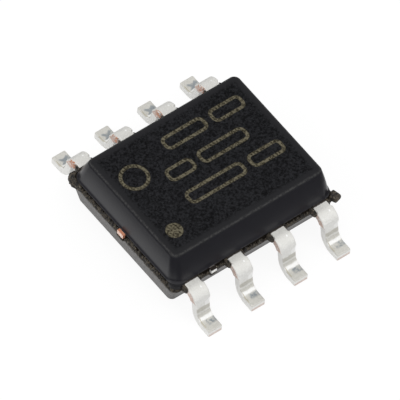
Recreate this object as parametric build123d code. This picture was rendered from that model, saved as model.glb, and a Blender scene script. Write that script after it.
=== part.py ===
from build123d import *
import os
from math import radians, tan

# A small-outline chip package with gull-wing leads, in millimetres, +Z up.
# The origin is the middle of the footprint, on the plane that the feet stand on.
# X runs along the rows of leads. Lead 1 is at the left end of the -Y row, the numbers
# run to the right along that row and come back to the left along the +Y row.

# Rows of leads
lead_pitch = 1.27
leads_per_side = 4
lead_reach = 1.07

# Heights, from the seating plane up
standoff = 0.14
lower_height = 0.63
frame_thickness = 0.20
upper_height = 0.76

# Moulded body, its outline taken where the upper half meets the lead frame
row_margin = 0.475
body_width = 3.96
end_draft = 10.5
side_draft = 20.0
lip_flare = 0.04
lip_height = 0.07
corner_radius = 0.32
crown_corner_radius = 0.15
top_edge_radius = 0.10
lower_overhang_end = 0.015
lower_overhang_side = 0.045
lower_rim_radius = 0.18
lower_corner_radius = 0.14
bottom_edge_radius = 0.06

# Flash left at the level of the lead frame when the package was trimmed
flash_set_back = 0.01
knob_width = 0.07
knob_clearance = 0.03
broken_depth = 0.08
broken_height = 0.07
broken_clearance = 0.02

# Lumps of resin torn off at two corners: the corners of each lump seen from above, as
# distances outwards from the band's corner, along the body and across it
lump_edge_radius = 0.035
gate_lump = [(0.05, -0.165), (0.095, 0.045), (-0.075, 0.095), (-0.20, -0.15)]
gate_lump_low = 0.02
gate_lump_high = 0.18
vent_lump = [(0.04, -0.06), (0.08, -0.205), (-0.015, -0.465), (-0.185, -0.115)]
vent_lump_low = -0.07
vent_lump_high = 0.16

# Marks on the moulding
pin_mark_diameter = 0.44
pin_mark_depth = 0.012
pin_mark_from_end = 0.66
pin_mark_from_side = 0.92
ejector_diameter = 0.80
ejector_depth = 0.03
ejector_spacing = 2.70

# Lead, outside the body
lead_width = 0.39
shoulder_reach = 0.435
leg_angle = 8.5
shoulder_bend = 0.23
heel_bend = 0.34
dambar_gap = 0.21
dambar_width = 0.24
dambar_stub = 0.035
stub_chamfer = 0.02

# Lead finger, inside the body
anchor_cover = 0.28
anchor_width = 0.84
corner_anchor_width = 0.63
corner_tip_length = 0.17
corner_tip_width = 0.32
anchor_radius = 0.06
anchor_rounding_limit = 0.45

# Chip and what carries it
die_length = 1.70
die_width = 1.24
die_thickness = 0.25
attach_thickness = 0.025
attach_margin = 0.05
pad_margin_end = 0.60
pad_margin_side = 0.30
pad_gap = 0.16
pad_downset = 0.16
tie_bar_width = 0.22
tie_bar_proud = 0.07
frame_tab_width = 0.155
frame_tab_proud = 0.07
downset_run = 0.16
downset_start = 0.06

# Bond wires, hidden in the resin, so eight flats stand for the round of the wire
wire_diameter = 0.03
wire_flats = 8
ball_diameter = 0.075
ball_height = 0.02
bond_pad_pitch = 0.46
bond_pad_inset = 0.11
loop_height = 0.20
knee_share = 0.30
stitch_inset = 0.10

# Levels and half sizes that follow from the driving dimensions
frame_bottom = standoff + lower_height
frame_top = frame_bottom + frame_thickness
body_top = frame_top + upper_height
row_half = (leads_per_side - 1) * lead_pitch / 2
body_length = 2 * (row_half + row_margin)
lower_length = body_length + 2 * lower_overhang_end
lower_width = body_width + 2 * lower_overhang_side
flash_length = lower_length - 2 * flash_set_back
flash_width = lower_width - 2 * flash_set_back
body_half_width = body_width / 2
span_over_leads = body_width + 2 * lead_reach
pad_length = die_length + 2 * pad_margin_end
pad_width = die_width + 2 * pad_margin_side
corner_tip_y = pad_width / 2 + pad_gap
anchor_inner_y = corner_tip_y + corner_tip_length
anchor_outer_y = body_half_width - anchor_cover
anchor_length = anchor_outer_y - anchor_inner_y
pad_top = frame_top - pad_downset
attach_top = pad_top + attach_thickness
die_top = attach_top + die_thickness


def outline(length, width, radius, z):
    """Rounded rectangle at one height, as the moulding is cut level."""
    return Pos(0, 0, z) * RectangleRounded(length, width, radius)


def upper_half():
    """Top half of the moulding: a flared lip, drafted walls and a rounded top edge."""
    lip_top = frame_top + lip_height
    waist_length = body_length - 2 * lip_flare
    waist_width = body_width - 2 * lip_flare
    wall_height = upper_height - lip_height
    crown_length = waist_length - 2 * wall_height * tan(radians(end_draft))
    crown_width = waist_width - 2 * wall_height * tan(radians(side_draft))
    foot = outline(body_length, body_width, corner_radius, frame_top)
    waist = outline(waist_length, waist_width, corner_radius - lip_flare, lip_top)
    crown = outline(crown_length, crown_width, crown_corner_radius, body_top)
    block = loft([foot, waist], ruled=True) + loft([waist, crown], ruled=True)
    return fillet(block.edges().group_by(Axis.Z)[-1], top_edge_radius)


def lower_half():
    """Bottom half of the moulding, drafted towards the board, its lower edge rounded."""
    base_length = lower_length - 2 * lower_height * tan(radians(end_draft))
    base_width = lower_width - 2 * lower_height * tan(radians(side_draft))
    base = outline(base_length, base_width, lower_corner_radius, standoff)
    rim = outline(lower_length, lower_width, lower_rim_radius, frame_bottom)
    block = loft([base, rim], ruled=True)
    return fillet(block.edges().group_by(Axis.Z)[0], bottom_edge_radius)


def flash_knob(x):
    """Stub of resin beside a lead, between the body and the place of the dam bar."""
    reach = body_half_width + dambar_gap - knob_clearance
    round_end = knob_width / 2
    length = reach - body_half_width + knob_width
    shape = Circle(round_end) + Rectangle(knob_width, length, align=(Align.CENTER, Align.MAX))
    return Pos(x, reach - round_end, frame_bottom) * extrude(shape, frame_thickness)


def torn_lump(corners, low, high):
    """Lump with rounded corners at the +X, +Y corner of the band; heights are from its lower face."""
    posts = [
        Pos(flash_length / 2 + along, flash_width / 2 + across) * Circle(lump_edge_radius)
        for along, across in corners
    ]
    edges = [edge for post in posts for edge in post.edges()]
    return Pos(0, 0, frame_bottom + low) * extrude(make_hull(edges), high - low)


def broken_corner():
    """Slit where the flash broke away from the lower half, at the left-hand end of the -Y row."""
    knob_side = row_half + lead_width / 2 + knob_width
    length = flash_length / 2 - knob_side - broken_clearance
    gap = Box(length, 2 * broken_depth, broken_height, align=(Align.MIN, Align.CENTER, Align.MIN))
    return Pos(-flash_length / 2, -flash_width / 2, frame_bottom) * gap


def flash_band():
    """Resin between the two halves, with knobs by each lead, lumps and a broken corner."""
    band = extrude(outline(flash_length, flash_width, lower_rim_radius, frame_bottom), frame_thickness)
    beside = (lead_width + knob_width) / 2
    for place in range(leads_per_side):
        x = row_half - place * lead_pitch
        for side in (-beside, beside):
            knob = flash_knob(x + side)
            band += [knob, Rot(0, 0, 180) * knob]
    gate = mirror(torn_lump(gate_lump, gate_lump_low, gate_lump_high), Plane.XZ)
    vent = mirror(torn_lump(vent_lump, vent_lump_low, vent_lump_high), Plane.YZ)
    return band + [gate, vent] - broken_corner()


def mould_body(inner):
    """The black moulding, with the exact hollow of everything that is cast into it."""
    body = upper_half() + lower_half() + flash_band()
    mark = Cylinder(pin_mark_diameter / 2, pin_mark_depth, align=(Align.CENTER, Align.CENTER, Align.MAX))
    mark_x = -body_length / 2 + pin_mark_from_end
    mark_y = -body_half_width + pin_mark_from_side
    body -= Pos(mark_x, mark_y, body_top) * mark
    ejector = Cylinder(ejector_diameter / 2, ejector_depth, align=(Align.CENTER, Align.CENTER, Align.MIN))
    for side in (-1, 1):
        body -= Pos(side * ejector_spacing / 2, 0, standoff) * ejector
    return body - inner


def lead_section():
    """Side view of one lead: flat in the body, down over the shoulder, out along the foot."""
    middle = frame_bottom + frame_thickness / 2
    low = frame_thickness / 2
    shoulder_y = body_half_width + shoulder_reach
    heel_y = shoulder_y + (middle - low) * tan(radians(leg_angle))
    start = Vector(corner_tip_y, middle)
    shoulder = Vector(shoulder_y, middle)
    heel = Vector(heel_y, low)
    toe = Vector(span_over_leads / 2, low)
    half = frame_thickness / 2
    up = Vector(0, half)
    mitre = Vector(half * tan(radians((90 - leg_angle) / 2)), half)
    upper = [start + up, shoulder + mitre, heel + mitre, toe + up]
    lower = [start - up, shoulder - mitre, heel - mitre, toe - up]
    upper_line = FilletPolyline(*upper, radius=[shoulder_bend + half, heel_bend - half])
    lower_line = FilletPolyline(*lower, radius=[shoulder_bend - half, heel_bend + half])
    ends = [Line(upper[0], lower[0]), Line(upper[-1], lower[-1])]
    return make_face([*upper_line.edges(), *lower_line.edges(), *ends])


def lead_plan(towards_middle):
    """Top view of one lead: foot and leg, dam bar stub and the anchor cast into the body."""
    outer = span_over_leads / 2
    inner = anchor_inner_y
    plan = Pos(0, inner) * Rectangle(lead_width, outer - inner, align=(Align.CENTER, Align.MIN))
    stub_y = body_half_width + dambar_gap
    stub_width = lead_width + 2 * dambar_stub
    stub = Rectangle(stub_width, dambar_width, align=(Align.CENTER, Align.MIN))
    plan += Pos(0, stub_y) * chamfer(stub.vertices(), stub_chamfer)
    rounding = min(anchor_radius, anchor_length * anchor_rounding_limit)
    if towards_middle == 0:
        anchor = RectangleRounded(anchor_width, anchor_length, rounding, align=(Align.CENTER, Align.MIN))
        return plan + Pos(0, anchor_inner_y) * anchor
    shift = towards_middle * (corner_anchor_width - lead_width) / 2
    anchor = RectangleRounded(corner_anchor_width, anchor_length, rounding, align=(Align.CENTER, Align.MIN))
    plan += Pos(shift, anchor_inner_y) * anchor
    tip_length = corner_tip_length + 2 * anchor_radius
    tip = RectangleRounded(corner_tip_width, tip_length, anchor_radius, align=(Align.CENTER, Align.MIN))
    return plan + Pos(corner_tip_shift(towards_middle), corner_tip_y) * tip


def corner_tip_shift(towards_middle):
    """How far the inner tip of an end lead lies from the lead's middle."""
    return towards_middle * (corner_anchor_width - (lead_width + corner_tip_width) / 2)


def lead(x, towards_middle):
    """One stamped and formed lead of the +Y row."""
    width = corner_anchor_width + anchor_width + dambar_stub
    side_form = extrude(Plane.YZ * lead_section(), width, both=True)
    plan_form = extrude(lead_plan(towards_middle), frame_top)
    return Pos(x, 0, 0) * (side_form & plan_form)


def bent_strip(flat_end, outer_end):
    """Side view of a bar that climbs from the lowered pad to the level of the leads."""
    slope_start = flat_end + downset_start
    slope_end = slope_start + downset_run
    low = pad_top
    high = frame_top
    upper = [(flat_end, low), (slope_start, low), (slope_end, high), (outer_end, high)]
    lower = [(u, z - frame_thickness) for u, z in reversed(upper)]
    return make_face(Polyline(*upper, *lower, close=True))


def die_pad():
    """Lowered plate under the chip, its two tie bars and the tab between leads 1 and 2."""
    plate = Box(pad_length, pad_width, frame_thickness, align=(Align.CENTER, Align.CENTER, Align.MAX))
    pad = Pos(0, 0, pad_top) * plate
    bar_end = flash_length / 2 + tie_bar_proud
    bar = extrude(Plane.XZ * bent_strip(pad_length / 2, bar_end), tie_bar_width / 2, both=True)
    tab_end = flash_width / 2 + frame_tab_proud
    tab = extrude(Plane.YZ * bent_strip(pad_width / 2, tab_end), frame_tab_width / 2, both=True)
    tab = Pos(row_half - lead_pitch / 2, 0, 0) * tab
    return pad + [bar, Rot(0, 0, 180) * bar, Rot(0, 0, 180) * tab]


def die_attach():
    """Layer of adhesive between the plate and the chip."""
    length = die_length + 2 * attach_margin
    width = die_width + 2 * attach_margin
    layer = Box(length, width, attach_thickness, align=(Align.CENTER, Align.CENTER, Align.MIN))
    return Pos(0, 0, pad_top) * layer


def die():
    """The sawn silicon chip."""
    chip = Box(die_length, die_width, die_thickness, align=(Align.CENTER, Align.CENTER, Align.MIN))
    return Pos(0, 0, attach_top) * chip


def bond_wire(place, x, towards_middle, finger):
    """Ball on the chip, upright neck, level knee and a straight fall to the lead finger."""
    bond_x = ((leads_per_side - 1) / 2 - place) * bond_pad_pitch
    bond_y = die_width / 2 - bond_pad_inset
    stitch_x = x + corner_tip_shift(towards_middle)
    stitch_y = stitch_inset + (anchor_inner_y if towards_middle == 0 else corner_tip_y)
    start = Vector(bond_x, bond_y, die_top + ball_height)
    crest = start + Vector(0, 0, loop_height)
    end = Vector(stitch_x, stitch_y, frame_top - wire_diameter)
    knee = Vector(bond_x, bond_y, crest.Z) + Vector(end.X - bond_x, end.Y - bond_y, 0) * knee_share
    path = Polyline(start, crest, knee, end)
    section = Pos(start.X, start.Y, start.Z) * RegularPolygon(wire_diameter / 2, wire_flats)
    wire = sweep(section, path, transition=Transition.RIGHT)
    ball = Cylinder(ball_diameter / 2, ball_height, align=(Align.CENTER, Align.CENTER, Align.MIN))
    return (Pos(bond_x, bond_y, die_top) * ball + wire) - finger


def build_nodes():
    """Every separate piece of the package, by the name of its node."""
    nodes = {"die_pad": die_pad(), "die_attach": die_attach(), "die": die()}
    for place in range(leads_per_side):
        x = row_half - place * lead_pitch
        towards_middle = {0: -1, leads_per_side - 1: 1}.get(place, 0)
        finger = lead(x, towards_middle)
        wire = bond_wire(place, x, towards_middle, finger)
        near = place + 1
        far = leads_per_side + place + 1
        nodes[f"lead_{near}"] = Rot(0, 0, 180) * finger
        nodes[f"lead_{far}"] = finger
        nodes[f"bond_wire_{near}"] = Rot(0, 0, 180) * wire
        nodes[f"bond_wire_{far}"] = wire
    nodes["mould_body"] = mould_body(list(nodes.values()))
    return nodes


os.makedirs("parts", exist_ok=True)
for name, solid in build_nodes().items():
    export_step(solid, f"parts/{name}.step")
    print(name, len(solid.solids()), round(solid.volume, 4))
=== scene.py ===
# %% [markdown]
# # A black eight-lead chip package on a white ground
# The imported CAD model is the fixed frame. It says where every piece is and how large it is.
# This script gives the package its looks: the moulded resin with its grain, torn flash and
# laser mark, the plated and formed leads, and the studio round them.
# All lengths below are in millimetres and become metres where a mesh is made.

# %% Load the frame
import bpy
import numpy as np
from mathutils import Matrix, Vector


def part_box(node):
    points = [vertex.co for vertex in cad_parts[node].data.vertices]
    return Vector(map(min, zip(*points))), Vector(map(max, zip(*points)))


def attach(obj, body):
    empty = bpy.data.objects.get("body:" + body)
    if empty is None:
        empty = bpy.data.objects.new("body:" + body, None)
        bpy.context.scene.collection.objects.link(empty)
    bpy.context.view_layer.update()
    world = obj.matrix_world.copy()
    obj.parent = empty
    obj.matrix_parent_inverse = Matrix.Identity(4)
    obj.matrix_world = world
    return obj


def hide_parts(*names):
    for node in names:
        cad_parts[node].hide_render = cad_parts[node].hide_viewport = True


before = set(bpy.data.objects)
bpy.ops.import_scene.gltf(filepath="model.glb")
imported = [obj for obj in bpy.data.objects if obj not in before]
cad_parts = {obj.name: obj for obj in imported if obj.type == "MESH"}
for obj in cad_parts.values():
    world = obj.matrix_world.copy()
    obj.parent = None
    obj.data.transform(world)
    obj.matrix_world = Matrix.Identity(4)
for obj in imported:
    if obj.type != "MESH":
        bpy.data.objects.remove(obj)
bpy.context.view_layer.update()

MM = 0.001

# %% [markdown]
# The frame gives the driving sizes: the box of the moulding, the box of a lead and from them
# the heights and the reach of the toes.

# %% Sizes read from the frame
body_low, body_high = (np.array(corner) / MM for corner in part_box("mould_body"))
lead_high = np.array(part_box("lead_7")[1]) / MM

base_z = body_low[2]
crown_z = body_high[2]
frame_top = lead_high[2]
toe_y = lead_high[1]
print("base", base_z, "crown", crown_z, "lead top", frame_top, "toe", toe_y)

# %% [markdown]
# What a box can't say, such as a wall's draft or the thickness of the lead frame, is named
# here once, with the value that the CAD model has. Pairs are for the end walls first and the
# side walls second. The lower half of the mould was a little larger than the upper one, and
# the flash lies between them.

# %% Sizes that the boxes can't say
END_WALL_BEYOND = 0.475
UPPER_HALF_WIDTH = 1.98
LOWER_PROUD = (0.015, 0.045)
FLASH_SET_BACK = 0.01
DRAFT_DEGREES = (10.5, 20.0)

frame_thickness = 0.20
frame_bottom = frame_top - frame_thickness
leads_per_side = 4
lead_pitch = 1.27
row_half = (leads_per_side - 1) * lead_pitch / 2
upper_half_size = np.array([row_half + END_WALL_BEYOND, UPPER_HALF_WIDTH])
lower_half_size = upper_half_size + LOWER_PROUD
flash_half_size = lower_half_size - FLASH_SET_BACK
draft = np.radians(DRAFT_DEGREES)
print("upper half", 2 * upper_half_size, "lower half", 2 * lower_half_size)

# %% [markdown]
# ## Camera
# The photo was taken with a long lens from the front left and well above the chip. The pose
# comes from fitting the corners of the moulding and the eight leads, so the render can be
# laid over the photo. The lens is so long that the sides stay almost parallel.

# %% Camera
VIEW_AZIMUTH = -42.918
VIEW_ELEVATION = 54.441
VIEW_ROLL = 6.648
VIEW_DISTANCE = 307.83
VIEW_WIDTH = 9.386
SENSOR_WIDTH = 36.0
VIEW_TARGET = np.array([0.0, 0.0, 0.8])
VIEW_OFFSET_RIGHT = -0.0626
VIEW_OFFSET_UP = -0.2754
CLIP_NEAR = 0.01
CLIP_FAR = 10.0


def view_axes(azimuth, elevation, roll):
    """Right, up and back directions of a camera: spherical angles, then a turn about its axis."""
    a, e, r = np.radians([azimuth, elevation, roll])
    back = np.array([np.sin(a) * np.cos(e), -np.cos(a) * np.cos(e), np.sin(e)])
    level = np.array([np.cos(a), np.sin(a), 0.0])
    upright = np.cross(back, level)
    right = np.cos(r) * level + np.sin(r) * upright
    up = np.cos(r) * upright - np.sin(r) * level
    return right, up, back


right, up, back = view_axes(VIEW_AZIMUTH, VIEW_ELEVATION, VIEW_ROLL)
aim = VIEW_TARGET + right * VIEW_OFFSET_RIGHT + up * VIEW_OFFSET_UP
eye = aim + back * VIEW_DISTANCE
camera_data = bpy.data.cameras.new("camera")
camera_data.sensor_width = SENSOR_WIDTH
camera_data.lens = SENSOR_WIDTH * VIEW_DISTANCE / VIEW_WIDTH
camera_data.clip_start = CLIP_NEAR
camera_data.clip_end = CLIP_FAR
camera = bpy.data.objects.new("camera", camera_data)
camera_turn = Matrix(np.column_stack([right, up, back])).to_4x4()
camera.matrix_world = Matrix.Translation(Vector(eye * MM)) @ camera_turn
bpy.context.scene.collection.objects.link(camera)
bpy.context.scene.camera = camera
print("lens in mm", round(camera_data.lens, 1))

# %% [markdown]
# ## Small helpers
# Every new piece is a surface worked out as whole numpy arrays. `put_mesh` turns the arrays
# into an object, `tube_faces` joins a stack of closed rings, and `value_noise` gives a smooth
# random field that is the same on each run, because its table comes from one fixed seed.

# %% Mesh helpers
NOISE_SEED = 17
NOISE_VALUES = 4096
NOISE_TABLE = np.random.default_rng(NOISE_SEED).random(NOISE_VALUES)
HASH_PRIMES = (73856093, 19349663, 83492791)


def smooth_share(t):
    """3t^2 - 2t^3: goes from 0 to 1 with a level start and a level end."""
    return t * t * (3 - 2 * t)


def value_noise(points, cell):
    """Smooth noise from -1 to 1.

    Random values sit on a lattice with the given cell. A point's value is the mean of the
    eight values round it, each weighted by the product of its smooth shares in x, y and z."""
    scaled = np.asarray(points) / cell
    corner = np.floor(scaled).astype(np.int64)
    t = smooth_share(scaled - corner)
    total = np.zeros(scaled.shape[:-1])
    for step in np.ndindex(2, 2, 2):
        key = np.zeros(total.shape, np.int64)
        weight = np.ones(total.shape)
        for direction, prime in enumerate(HASH_PRIMES):
            key = key ^ ((corner[..., direction] + step[direction]) * prime)
            share = t[..., direction]
            weight = weight * (share if step[direction] else 1 - share)
        total += weight * NOISE_TABLE[np.abs(key) % NOISE_VALUES]
    return 2 * total - 1


def layered_noise(points, layers):
    """Sum of noises; a layer is (weight, cell, shift), and the shift keeps the layers from lining up."""
    return sum(weight * value_noise(points + shift, cell) for weight, cell, shift in layers)


def tube_faces(rows, columns, start=0):
    """Faces between the rings of a stack: each place meets the next column, then the next row."""
    v, u = np.meshgrid(np.arange(rows - 1), np.arange(columns), indexing="ij")
    after = (u + 1) % columns
    here = v * columns + u
    beside = v * columns + after
    quads = np.stack([here, beside, beside + columns, here + columns], -1)
    return start + quads.reshape(-1, 4)


def fan_faces(ring_start, columns, pole, inward=False):
    """Triangles from the last ring of a stack to one point."""
    u = np.arange(columns)
    after = (u + 1) % columns
    triangles = np.stack([ring_start + u, ring_start + after, np.full(columns, pole)], -1)
    return triangles[:, ::-1] if inward else triangles


def put_mesh(name, points, faces, materials=(), face_material=None, attributes=None):
    """An object whose mesh holds the given points, in millimetres, and faces, shaded smooth."""
    mesh = bpy.data.meshes.new(name)
    mesh.from_pydata(np.asarray(points, float) * MM, [], faces)
    for material in materials:
        mesh.materials.append(material)
    if face_material is not None:
        mesh.polygons.foreach_set("material_index", np.asarray(face_material, np.int32))
    for key, values in (attributes or {}).items():
        layer = mesh.attributes.new(key, "FLOAT", "POINT")
        layer.data.foreach_set("value", np.asarray(values, np.float32))
    mesh.shade_smooth()
    mesh.update()
    piece = bpy.data.objects.new(name, mesh)
    bpy.context.scene.collection.objects.link(piece)
    return piece


print("noise values", NOISE_VALUES)

# %% [markdown]
# Materials are small node trees. These helpers keep each tree short: every one adds a node,
# joins its inputs and hands back its output. The patterns read the piece's own coordinates
# in millimetres, so their sizes can be given as real sizes.

# %% Material helpers
def start_material(name):
    """A new material, its node tree and its main shader."""
    material = bpy.data.materials.new(name)
    material.use_nodes = True
    return material, material.node_tree, material.node_tree.nodes["Principled BSDF"]


def join(tree, value, socket):
    """Puts a number, a colour or another node's output into a socket."""
    if isinstance(value, bpy.types.NodeSocket):
        tree.links.new(value, socket)
    else:
        socket.default_value = value


def place(tree):
    """Object coordinates in millimetres."""
    coordinates = tree.nodes.new("ShaderNodeTexCoord")
    scaled = tree.nodes.new("ShaderNodeVectorMath")
    scaled.operation = "SCALE"
    tree.links.new(coordinates.outputs["Object"], scaled.inputs[0])
    scaled.inputs["Scale"].default_value = 1 / MM
    return scaled.outputs[0]


def axis(tree, vector, letter):
    """One coordinate of a vector."""
    split = tree.nodes.new("ShaderNodeSeparateXYZ")
    tree.links.new(vector, split.inputs[0])
    return split.outputs[letter]


def calc(tree, operation, a, b=0.0, c=0.0):
    """One step of arithmetic."""
    step = tree.nodes.new("ShaderNodeMath")
    step.operation = operation
    for socket, value in zip(step.inputs, (a, b, c)):
        join(tree, value, socket)
    return step.outputs[0]


def fade(tree, value, start, end, low=0.0, high=1.0):
    """Goes smoothly from low to high as value goes from start to end."""
    step = tree.nodes.new("ShaderNodeMapRange")
    step.interpolation_type = "SMOOTHSTEP"
    join(tree, value, step.inputs["Value"])
    join(tree, start, step.inputs["From Min"])
    join(tree, end, step.inputs["From Max"])
    join(tree, low, step.inputs["To Min"])
    join(tree, high, step.inputs["To Max"])
    return step.outputs["Result"]


def grain(tree, vector, size, detail=2.0, rough=0.5):
    """Noise from 0 to 1 whose blotches are about as large as size, in the vector's units."""
    step = tree.nodes.new("ShaderNodeTexNoise")
    tree.links.new(vector, step.inputs["Vector"])
    step.inputs["Scale"].default_value = 1 / size
    step.inputs["Detail"].default_value = detail
    step.inputs["Roughness"].default_value = rough
    return step.outputs["Fac"]


def varied(tree, value, noise, amount):
    """The value plus (noise - 0.5) * amount, which makes an even edge or level wander."""
    return calc(tree, "MULTIPLY_ADD", calc(tree, "SUBTRACT", noise, 0.5), amount, value)


def times(tree, *factors):
    """Product of several numbers."""
    product = factors[0]
    for factor in factors[1:]:
        product = calc(tree, "MULTIPLY", product, factor)
    return product


def blend(tree, factor, a, b):
    """A colour between a and b."""
    step = tree.nodes.new("ShaderNodeMix")
    step.data_type = "RGBA"
    join(tree, factor, step.inputs["Factor"])
    join(tree, a, step.inputs["A"])
    join(tree, b, step.inputs["B"])
    return step.outputs["Result"]


def bump(tree, height, depth, shader, strength=1.0):
    """Bends the shading by a height field; depth is in millimetres."""
    step = tree.nodes.new("ShaderNodeBump")
    join(tree, strength, step.inputs["Strength"])
    step.inputs["Distance"].default_value = depth * MM
    join(tree, height, step.inputs["Height"])
    tree.links.new(step.outputs[0], shader.inputs["Normal"])


def dress(tree, shader, colour, roughness, specular=0.5, metallic=0.0):
    """Gives the shader its colour and its numbers."""
    looks = {
        "Base Color": colour, "Roughness": roughness,
        "Specular IOR Level": specular, "Metallic": metallic}
    for name, value in looks.items():
        join(tree, value, shader.inputs[name])


def stored(tree, name):
    """A number stored on the piece's points."""
    step = tree.nodes.new("ShaderNodeAttribute")
    step.attribute_name = name
    return step.outputs["Fac"]


print("material helpers ready")

# %% [markdown]
# ## The moulded resin
# The resin is filled with glass beads and carbon black. The top of the mould cavity is
# spark-eroded, so the top face has a fine grain; the walls slide out of the mould and come
# out smooth. Where the two halves of the mould met, resin squeezed out and was torn off.
# The marks on top are burnt in by a laser: first come their places. A slot is given by its
# height on the face and by where it starts and ends.

# %% Places of the laser marks
MARK_CENTRE = (-1.73, -1.065)
MARK_RADIUS = 0.215
SLOTS = (
    (1.01, -0.42, 0.74), (1.01, 0.98, 1.84),
    (0.23, -0.90, -0.20), (0.23, 0.04, 1.36),
    (-0.54, -0.90, 0.70), (-0.54, 0.94, 1.84))
SLOT_HALF_HEIGHT = 0.165
SLOT_ROUNDING = 0.12
STROKE_HALF = 0.045
RING_CENTRE = (-1.58, 0.67)
RING_RADIUS = 0.33
print("laser marks", len(SLOTS) + 2)

# %% [markdown]
# Plain outlined slots and a ring stand on the top face, and say nothing. A decal or a cut in
# the mesh could make them; a formula in the material is sharper at any distance. A shape is
# known by its signed distance, which is negative inside: for a rounded slot with
# q = |p - middle| - half size + rounding it is |max(q, 0)| + min(max(qx, qy), 0) - rounding.
# The stroke is |distance| - half its width. Noise makes its edge ragged, and fine slanting
# lines run through it, as a laser leaves them. The crease round the face is lighter in dots:
# partly rubbed, and partly a painted highlight.

# %% Resin on the top face
RESIN_DARK = (0.0006, 0.0007, 0.0012, 1.0)
RESIN_LIGHT = (0.0175, 0.0180, 0.0205, 1.0)
RESIN_SMOOTH = (0.0165, 0.0165, 0.0185, 1.0)
RESIN_WEAR_AND_HIGHLIGHT = (0.052, 0.052, 0.052, 1.0)
LASER_LIGHT = (0.150, 0.134, 0.090, 1.0)
LASER_DARK = (0.024, 0.020, 0.011, 1.0)
SPECKS = (0.055, 3.0, 0.7)
SPECK_RANGE = (0.36, 0.66)
GRAIN_DEPTH = 0.020
CLOUD_SIZE = 0.9
CLOUD_LIFT = 0.10
DOTS = (0.045, 2.0, 0.6)
DOT_RANGE = (0.40, 0.60, 0.25, 1.0)
BURRS = (0.050, 2.0, 0.6)
BURR_REACH = 0.050
BURR_BLUR = 0.008
HATCH_TURNS = 75.0
HATCH_LEAN = 0.25
HATCH_LEVEL = 0.04
SCORCH = (0.050, 2.0, 0.65)
SCORCH_RANGE = (0.36, 0.62)
TOP_ROUGHNESS = (0.42, 0.60)
TOP_SPECULAR = 0.08


def radius_from(tree, x, y, centre):
    """Distance from a centre in plan: sqrt(dx^2 + dy^2)."""
    dx = calc(tree, "SUBTRACT", x, centre[0])
    dy = calc(tree, "SUBTRACT", y, centre[1])
    return calc(tree, "SQRT", calc(tree, "MULTIPLY_ADD", dx, dx, calc(tree, "MULTIPLY", dy, dy)))


def slot_distance(tree, x, y, height, start, end):
    """Signed distance in plan to a rounded slot."""
    q_x = calc(tree, "ABSOLUTE", calc(tree, "SUBTRACT", x, (start + end) / 2))
    q_x = calc(tree, "SUBTRACT", q_x, (end - start) / 2 - SLOT_ROUNDING)
    q_y = calc(tree, "ABSOLUTE", calc(tree, "SUBTRACT", y, height))
    q_y = calc(tree, "SUBTRACT", q_y, SLOT_HALF_HEIGHT - SLOT_ROUNDING)
    over_x = calc(tree, "MAXIMUM", q_x, 0.0)
    over_y = calc(tree, "MAXIMUM", q_y, 0.0)
    outside = calc(tree, "MULTIPLY_ADD", over_x, over_x, calc(tree, "MULTIPLY", over_y, over_y))
    inside = calc(tree, "MINIMUM", calc(tree, "MAXIMUM", q_x, q_y), 0.0)
    distance = calc(tree, "ADD", calc(tree, "SQRT", outside), inside)
    return calc(tree, "SUBTRACT", distance, SLOT_ROUNDING)


def laser_distance(tree, x, y):
    """Signed distance to the strokes and to the round mark beside lead 1."""
    outlines = [calc(tree, "SUBTRACT", radius_from(tree, x, y, RING_CENTRE), RING_RADIUS)]
    outlines += [slot_distance(tree, x, y, *slot) for slot in SLOTS]
    nearest = calc(tree, "SUBTRACT", radius_from(tree, x, y, MARK_CENTRE), MARK_RADIUS)
    for outline in outlines:
        stroke = calc(tree, "SUBTRACT", calc(tree, "ABSOLUTE", outline), STROKE_HALF)
        nearest = calc(tree, "MINIMUM", nearest, stroke)
    return nearest


def top_resin():
    """Nearly black and grained, with laser marks; near the crease smooth, with dots of wear and painted
    highlight.
    """
    material, tree, shader = start_material("resin_top")
    here = place(tree)
    grained = stored(tree, "grained")
    speck = grain(tree, here, *SPECKS)
    lifted = varied(tree, speck, grain(tree, here, CLOUD_SIZE), CLOUD_LIFT)
    colour = blend(tree, fade(tree, lifted, *SPECK_RANGE), RESIN_DARK, RESIN_LIGHT)
    colour = blend(tree, grained, RESIN_SMOOTH, colour)
    dots = fade(tree, grain(tree, here, *DOTS), *DOT_RANGE)
    # Wear and a painted highlight: the crease is lightened in dots.
    colour = blend(tree, times(tree, stored(tree, "worn"), dots), colour, RESIN_WEAR_AND_HIGHLIGHT)
    x = axis(tree, here, "X")
    y = axis(tree, here, "Y")
    ragged = varied(tree, laser_distance(tree, x, y), grain(tree, here, *BURRS), BURR_REACH)
    marked = fade(tree, ragged, BURR_BLUR, -BURR_BLUR)
    leaning = calc(tree, "MULTIPLY_ADD", y, HATCH_LEAN, x)
    hatch = calc(tree, "SINE", calc(tree, "MULTIPLY", leaning, HATCH_TURNS))
    scorch = calc(tree, "MULTIPLY_ADD", hatch, HATCH_LEVEL, grain(tree, here, *SCORCH))
    laser = blend(tree, fade(tree, scorch, *SCORCH_RANGE), LASER_DARK, LASER_LIGHT)
    roughness = fade(tree, grained, 0.0, 1.0, *TOP_ROUGHNESS)
    dress(tree, shader, blend(tree, marked, colour, laser), roughness, TOP_SPECULAR)
    bump(tree, speck, GRAIN_DEPTH, shader, grained)
    return material


resin_top = top_resin()
print("made", resin_top.name)

# %% [markdown]
# The sides left the mould smooth. Black resin shows little colour of its own there: what is
# seen is mostly the mirror image of the ground, weak where it is looked at straight and
# strong at a glancing angle, which is why the lower half looks grey.

# %% Resin on the sides
WALL_DARK = (0.0056, 0.0054, 0.0090, 1.0)
WALL_LIGHT = (0.0086, 0.0082, 0.0124, 1.0)
MOTTLING = (0.25, 3.0)
WALL_ROUGHNESS = 0.30
WALL_GRAIN = 0.05
WALL_GRAIN_DEPTH = 0.0012


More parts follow.
